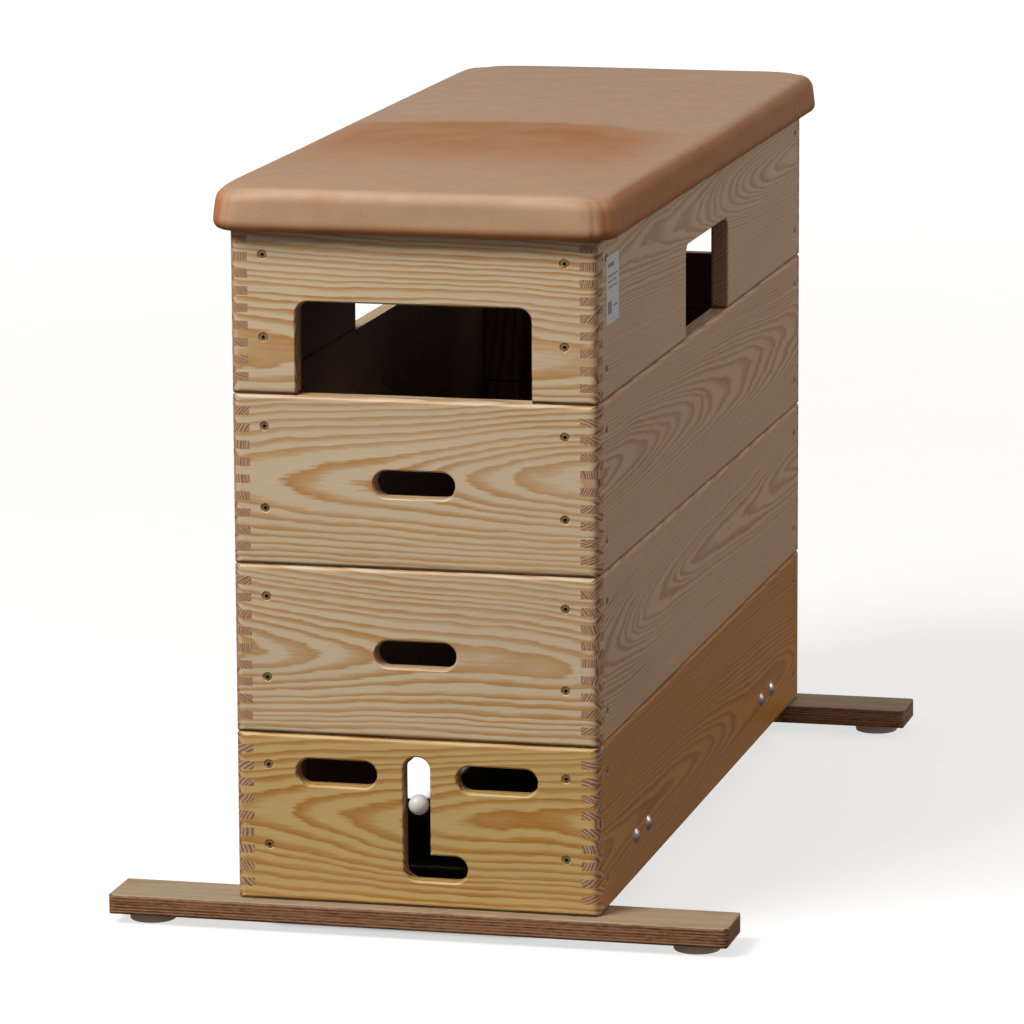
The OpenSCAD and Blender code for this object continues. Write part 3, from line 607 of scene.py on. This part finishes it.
def pad_form(points, half_x, half_y, low_z, high_z):
    """Bends a plain box into the pad: round corners, rounded edges with their own radius along the long
    sides and the ends, and a crown.
    """
    x, y, z = points.T.copy()
    on_side = (np.abs(np.abs(x) - half_x) < 1e-6) | (np.abs(np.abs(y) - half_y) < 1e-6)
    # Round the corners in plan: a square in each corner becomes a quarter disc
    a = np.clip(np.abs(x) - (half_x - CORNER_R), 0, None) / CORNER_R
    b = np.clip(np.abs(y) - (half_y - CORNER_R), 0, None) / CORNER_R
    corner = (a > 0) & (b > 0)
    reach, size = np.maximum(a, b), np.hypot(a, b)
    scale = np.where(corner, reach / np.maximum(size, 1e-9), 1.0)
    plan_x = np.where(corner, np.sign(x) * (half_x - CORNER_R + a * scale * CORNER_R), x)
    plan_y = np.where(corner, np.sign(y) * (half_y - CORNER_R + b * scale * CORNER_R), y)
    to_x, to_y = half_x - np.abs(x), half_y - np.abs(y)
    inset = np.where(corner, CORNER_R * (1 - reach), np.minimum(to_x, to_y))
    # Which way is in, and how far this stretch of the edge belongs to a long side
    way_x = np.where(corner, a / np.maximum(size, 1e-9), (to_x <= to_y).astype(float))
    way_y = np.where(corner, b / np.maximum(size, 1e-9), (to_x > to_y).astype(float))
    side = way_x**2
    edge_r = END_EDGE_R + (SIDE_EDGE_R - END_EDGE_R) * side
    # Walk up the wall and in over the top along a rounded profile
    height = high_z - low_z
    top = z > high_z - 1e-6
    bottom = z < low_z + 1e-6
    walk = np.where(top, height + inset, np.where(bottom, -inset, z - low_z))
    upper = np.clip((walk - (height - edge_r)) / (2 * edge_r), 0, 1) * math.pi / 2
    lower = np.clip((RIM_R - walk) / (2 * RIM_R), 0, 1) * math.pi / 2
    turn_in = edge_r * (1 - np.cos(upper)) + RIM_R * (1 - np.cos(lower))
    new_inset = np.where(walk > height + edge_r, inset, np.where(walk < -RIM_R, inset, turn_in))
    new_z = np.where(walk > height - edge_r, height - edge_r * (1 - np.sin(upper)), walk)
    new_z = np.where(walk < RIM_R, RIM_R * (1 - np.sin(lower)), new_z)
    shift = new_inset - inset
    shift = np.where(on_side & ~top & ~bottom, new_inset, shift)
    plan_x -= np.sign(plan_x) * way_x * shift
    plan_y -= np.sign(plan_y) * way_y * shift
    # The foam stands a little higher away from the edges
    dome = np.clip(inset / 0.11, 0, 1)
    crown = np.where(top, CROWN * np.sin(dome * math.pi / 2) ** 1.5, 0.0)
    # Under the pad the leather goes up inside the rim, then in over the top of the boards
    step = half_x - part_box("top_right_board")[1].x - RIM_GAP
    lifted = bottom & (inset > step + 1e-5)
    new_z = np.where(lifted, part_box("top_right_board")[1].z + 0.0006 - low_z, new_z)
    return np.column_stack([plan_x, plan_y, low_z + new_z + crown])


def swell(piece, low_z, height):
    """Blows the leather up against its seams as cloth, and keeps a small, even part of the movement."""
    mesh = piece.data
    rest = np.empty(len(mesh.vertices) * 3)
    mesh.vertices.foreach_get("co", rest)
    rest = rest.reshape(-1, 3)
    held = piece.vertex_groups.new(name="held")
    for index in np.nonzero(rest[:, 2] < low_z + HELD_PART * height)[0]:
        held.add([int(index)], 1.0, "REPLACE")
    cloth = piece.modifiers.new("Cloth", "CLOTH")
    cloth.settings.quality = 4
    cloth.settings.mass = 0.4
    cloth.settings.tension_stiffness = 40
    cloth.settings.compression_stiffness = 40
    cloth.settings.bending_stiffness = 2
    cloth.settings.use_pressure = True
    cloth.settings.uniform_pressure_force = 4
    cloth.settings.vertex_group_mass = "held"
    cloth.settings.effector_weights.gravity = 0
    cloth.collision_settings.use_collision = False
    cloth.point_cache.frame_start, cloth.point_cache.frame_end = 1, CLOTH_FRAMES
    scene = bpy.context.scene
    for number in range(1, CLOTH_FRAMES + 1):
        scene.frame_set(number)
    shape = piece.evaluated_get(bpy.context.evaluated_depsgraph_get()).to_mesh()
    blown = np.empty(len(rest) * 3)
    shape.vertices.foreach_get("co", blown)
    piece.modifiers.remove(cloth)
    piece.vertex_groups.remove(held)
    scene.frame_set(1)
    move = blown.reshape(-1, 3) - rest
    far = np.linalg.norm(move, axis=1).max()
    return rest + move * min(1.0, PAD_SWELL / max(far, 1e-9))


def sculpt(points, half_x, half_y, low_z, height):
    """What a remesh would lose: pleats round the corners, the ridge along the ends and small dents."""
    x, y, z = points.T.copy()
    up = np.clip((z - low_z) / height, 0, 1.2)
    # The stuffing gives way at the corners, and more towards the top
    near = np.exp(-((np.hypot(half_x - np.abs(x), half_y - np.abs(y)) / CORNER_REACH) ** 2))
    z -= CORNER_DROP * near * np.clip(up, 0, 1) ** 2
    x -= np.sign(x) * CORNER_PULL * near * np.clip(up - 0.25, 0, 1)
    y -= np.sign(y) * CORNER_PULL * near * np.clip(up - 0.25, 0, 1)
    # Pleats run up the corners, where the hide is gathered
    corner_x = np.abs(x) - (half_x - CORNER_R)
    corner_y = np.abs(y) - (half_y - CORNER_R)
    angle = np.arctan2(np.clip(corner_y, 0, None), np.clip(corner_x, 1e-6, None))
    far_out = np.hypot(corner_x, corner_y) > 0.55 * CORNER_R
    around = (corner_x > -0.004) & (corner_y > -0.004) & far_out
    folds = np.zeros_like(x)
    for where, deep, wide in ((18, 0.0009, 5), (41, 0.0013, 6), (66, 0.0010, 5), (84, 0.0007, 4)):
        folds += deep * np.exp(-(((np.degrees(angle) - where) / wide) ** 2))
    fade = np.clip(1.15 - up, 0, 1) * around
    out_x, out_y = np.cos(angle) * np.sign(x), np.sin(angle) * np.sign(y)
    x -= out_x * folds * fade
    y -= out_y * folds * fade
    # A firm ridge along the top of both ends, which dies out before the corners
    line = np.exp(-(((half_y - np.abs(y)) - 0.006) / 0.004) ** 2)
    line *= np.clip((half_x - 0.035 - np.abs(x)) / 0.05, 0, 1) * (up > 0.6)
    z += 0.0016 * line
    # Long, shallow unevenness of the stuffing
    wave = np.sin(9.0 * x + 2.0) * np.sin(5.3 * y + 0.7) + 0.6 * np.sin(17.0 * x - 6.1 * y)
    z += 0.0006 * wave * (up > 0.9)
    ripple = np.sin(31.0 * x + 3.0 * np.sin(7.0 * y)) + np.sin(23.0 * y + 2.0 * np.sin(9.0 * x))
    side = np.exp(-(((up - 0.45) / 0.28) ** 2))
    y += np.sign(y) * 0.0005 * ripple * side * (half_y - np.abs(y) < 0.02)
    x += np.sign(x) * 0.0005 * ripple * side * (half_x - np.abs(x) < 0.02)
    return np.column_stack([x, y, z])


def make_pad():
    """The padded top: foam and plywood under one hide, modelled from the CAD solid's box."""
    low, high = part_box("leather_cover")
    low_z = low.z + PAD_LIFT
    half_x, half_y = high.x - PAD_INSET, high.y - PAD_INSET
    rim_top = high.z - CROWN - TOP_GAP
    overhang = half_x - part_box("top_right_board")[1].x - RIM_GAP
    xs = grid_lines(half_x, EDGE_ZONE, EDGE_STEP, 0.010, overhang)
    ys = grid_lines(half_y, EDGE_ZONE, EDGE_STEP, 0.011, overhang)
    zs = np.linspace(low_z, rim_top, 13)
    points, faces = box_shell(xs, ys, zs)
    points = pad_form(points, half_x, half_y, low_z, rim_top)
    mesh = bpy.data.meshes.new("leather_pad")
    mesh.from_pydata(points.tolist(), [], faces)
    pad = bpy.data.objects.new("leather_pad", mesh)
    bpy.context.scene.collection.objects.link(pad)
    height = rim_top - low_z
    points = swell(pad, low_z, height)
    points = sculpt(points, half_x, half_y, low_z, height)
    mesh.vertices.foreach_set("co", points.ravel())
    mesh.polygons.foreach_set("use_smooth", [True] * len(mesh.polygons))
    mesh.update()
    rounds = pad.modifiers.new("Subdivision", "SUBSURF")
    rounds.levels = rounds.render_levels = 1
    mesh.materials.append(leather(low, high))
    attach(pad, "top_section")
    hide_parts("leather_cover", "pad_foam")


# ---------------------------------------------------------------- stage, light and camera

FLOOR_HALF = 40.0
FLOOR_GLOW = (0.68, 0.92)
# The strip of painted light on the floor: where it starts along the box and fades out to the left, and
# how much it adds
STRIP_START = (0.04, 0.08)
STRIP_LEFT = (-0.60, -0.30)
STRIP_PAINTED_LIGHT = 0.32
# Width of the soft edge of the painted shadow under the left board
PAINTED_SHADOW_EDGE = 0.025
BACKDROP_SIDES = 64
# Long lens, well back from the front right corner of the box
CAMERA_LENS = 214.18
CAMERA_PLACE = Vector((1.7395, -7.2528, 1.8308))
CAMERA_YAW = math.radians(-13.717)
CAMERA_PITCH = math.radians(-10.919)
CAMERA_ROLL = math.radians(-0.3)


def stage_piece(name, points, faces, material):
    """A piece of the studio, which doesn't light the box."""
    mesh = bpy.data.meshes.new(name)
    mesh.from_pydata(points, [], faces)
    mesh.materials.append(material)
    piece = bpy.data.objects.new(name, mesh)
    bpy.context.scene.collection.objects.link(piece)
    piece.visible_diffuse = False
    piece.visible_glossy = False
    return piece


def plate(x0, x1, y0, y1, z):
    return [(x0, y0, z), (x1, y0, z), (x1, y1, z), (x0, y1, z)], [(0, 1, 2, 3)]


def floor_paint():
    """White paint, evenly lit from below, except under the box, where a painted shadow stands for the
    box's own shade.
    """
    t = Tree("Pale_floor")
    x, y = t.split(t.place())[:2]
    low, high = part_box("base_right_board")
    inside_y = t.fade(t.math("ABSOLUTE", y), high.y - 0.06, high.y, 1.0, 0.0)
    # The strip that the front lever slot looks out over, under the far half of the left board: the
    # painted shadow's edge moves in there, and painted light is added
    strip = t.fade(y, *STRIP_START)
    near_left = t.fade(t.add(x, t.times(strip, -PAINTED_SHADOW_EDGE)), -low.x, PAINTED_SHADOW_EDGE - low.x)
    inside_x = t.times(near_left, t.fade(x, 0.5 * low.x, 0.85 * low.x, 1.0, 0.0))
    away = t.math("SQRT", t.add(t.times(x, x), t.times(y, y)))
    # Painted shadow: no glow under the box
    open_floor = t.fade(t.times(inside_x, inside_y), 0.0, 1.0, 1.0, 0.0)
    glow = t.times(t.fade(away, 1.0, 9.0, *FLOOR_GLOW), open_floor)
    # Painted light: the strip glows brighter
    lit = t.times(t.fade(x, 0.02 - low.x, 0.04 - low.x, 1.0, 0.0), t.fade(x, *STRIP_LEFT))
    lit = t.times(t.times(lit, strip), inside_y)
    glow = t.add(glow, t.times(lit, STRIP_PAINTED_LIGHT))
    pale = t.mix(t.grain(1.5, 3.0), (0.42, 0.42, 0.42), (0.45, 0.45, 0.45))
    # Painted shadow: the paint turns near black under the box
    pale = t.mix(t.times(t.times(inside_x, inside_y), 0.9), pale, (0.02, 0.018, 0.016))
    t.put(t.shader.inputs["Emission Strength"], glow)
    return t.finish(pale, 0.9, emission_color=(1.0, 1.0, 1.0, 1.0), specular_ior_level=0.0)


def wall_paint():
    t = Tree("Pale_backdrop")
    pale = t.mix(t.grain(0.2, 2.0), (0.95, 0.95, 0.95), (1.0, 1.0, 1.0))
    t.put(t.shader.inputs["Emission Color"], pale)
    return t.finish((0.0, 0.0, 0.0), 0.9, emission_strength=0.98, specular_ior_level=0.0)


def make_studio():
    """A plain pale floor with a painted shadow under the box, a round backdrop, and a black card that
    keeps light out from below.
    """
    half, count = FLOOR_HALF, BACKDROP_SIDES
    stage_piece("floor", *plate(-half, half, -half, half, 0.0), floor_paint())
    angles = np.linspace(0, 2 * math.pi, count + 1)[:-1]
    ring = [(half * math.cos(a), half * math.sin(a)) for a in angles]
    points = [(x, y, z) for z in (0.0, half) for x, y in ring]
    sides = [(i, (i + 1) % count, count + (i + 1) % count, count + i) for i in range(count)]
    wall = stage_piece("backdrop", points, sides + [tuple(range(count, 2 * count))], wall_paint())
    wall.visible_shadow = False
    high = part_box("base_right_board")[1]
    flag = Tree("Black_card")
    flag.finish(flag.mix(flag.grain(40.0), (0.010, 0.010, 0.010), (0.016, 0.016, 0.016)), 0.95)
    card = stage_piece("black_card", *plate(-high.x, high.x, -high.y, high.y, -0.002), flag.material)
    card.visible_diffuse = True
    card.visible_glossy = True
    card.visible_camera = False
    card.visible_shadow = False


def make_light(name, place, aim, size, power, colour):
    lamp = bpy.data.lights.new(name, "AREA")
    lamp.shape = "RECTANGLE"
    lamp.size, lamp.size_y = size
    lamp.energy = power
    lamp.color = colour
    light = bpy.data.objects.new(name, lamp)
    light.location = place
    light.rotation_euler = (Vector(aim) - Vector(place)).to_track_quat("-Z", "Y").to_euler()
    bpy.context.scene.collection.objects.link(light)


def make_lights():
    """A large soft key from the upper left front, a weak warm fill on the right and a dim sky."""
    make_light("key", (-2.9, -4.4, 5.95), (0, 0, 0.45), (3.0, 3.0), 460, (1.0, 0.985, 0.955))
    make_light("fill", (4.6, 2.4, 2.8), (0, 0.2, 0.55), (3.0, 3.0), 52, (1.0, 0.86, 0.78))
    world = bpy.data.worlds.new("studio")
    bpy.context.scene.world = world
    world.use_nodes = True
    tree = world.node_tree
    sky = tree.nodes["Background"]
    sky.inputs["Color"].default_value = (1.0, 0.93, 0.87, 1.0)
    side = tree.nodes.new("ShaderNodeTexCoord")
    split = tree.nodes.new("ShaderNodeSeparateXYZ")
    fade = tree.nodes.new("ShaderNodeMapRange")
    tree.links.new(side.outputs["Generated"], split.inputs[0])
    tree.links.new(split.outputs["Z"], fade.inputs["Value"])
    tree.links.new(fade.outputs["Result"], sky.inputs["Strength"])
    for name, value in (("From Min", -0.3), ("From Max", 0.2), ("To Min", 0.09), ("To Max", 0.29)):
        fade.inputs[name].default_value = value
    bpy.context.scene.view_settings.view_transform = "Standard"


def make_camera():
    """Looks along the box from the right of its front end, with the verticals left as they fall."""
    lens = bpy.data.cameras.new("camera")
    lens.lens = CAMERA_LENS
    lens.sensor_width = 36.0
    lens.clip_end = 200.0
    camera = bpy.data.objects.new("camera", lens)
    look = Vector((math.sin(CAMERA_YAW) * math.cos(CAMERA_PITCH),
                   math.cos(CAMERA_YAW) * math.cos(CAMERA_PITCH), math.sin(CAMERA_PITCH)))
    turn = look.to_track_quat("-Z", "Y").to_matrix() @ Matrix.Rotation(CAMERA_ROLL, 3, "Z")
    camera.matrix_world = Matrix.Translation(CAMERA_PLACE) @ turn.to_4x4()
    bpy.context.scene.collection.objects.link(camera)
    bpy.context.scene.camera = camera


make_camera()
make_studio()
make_lights()
dress_boards()
dress_hardware()
make_pad()
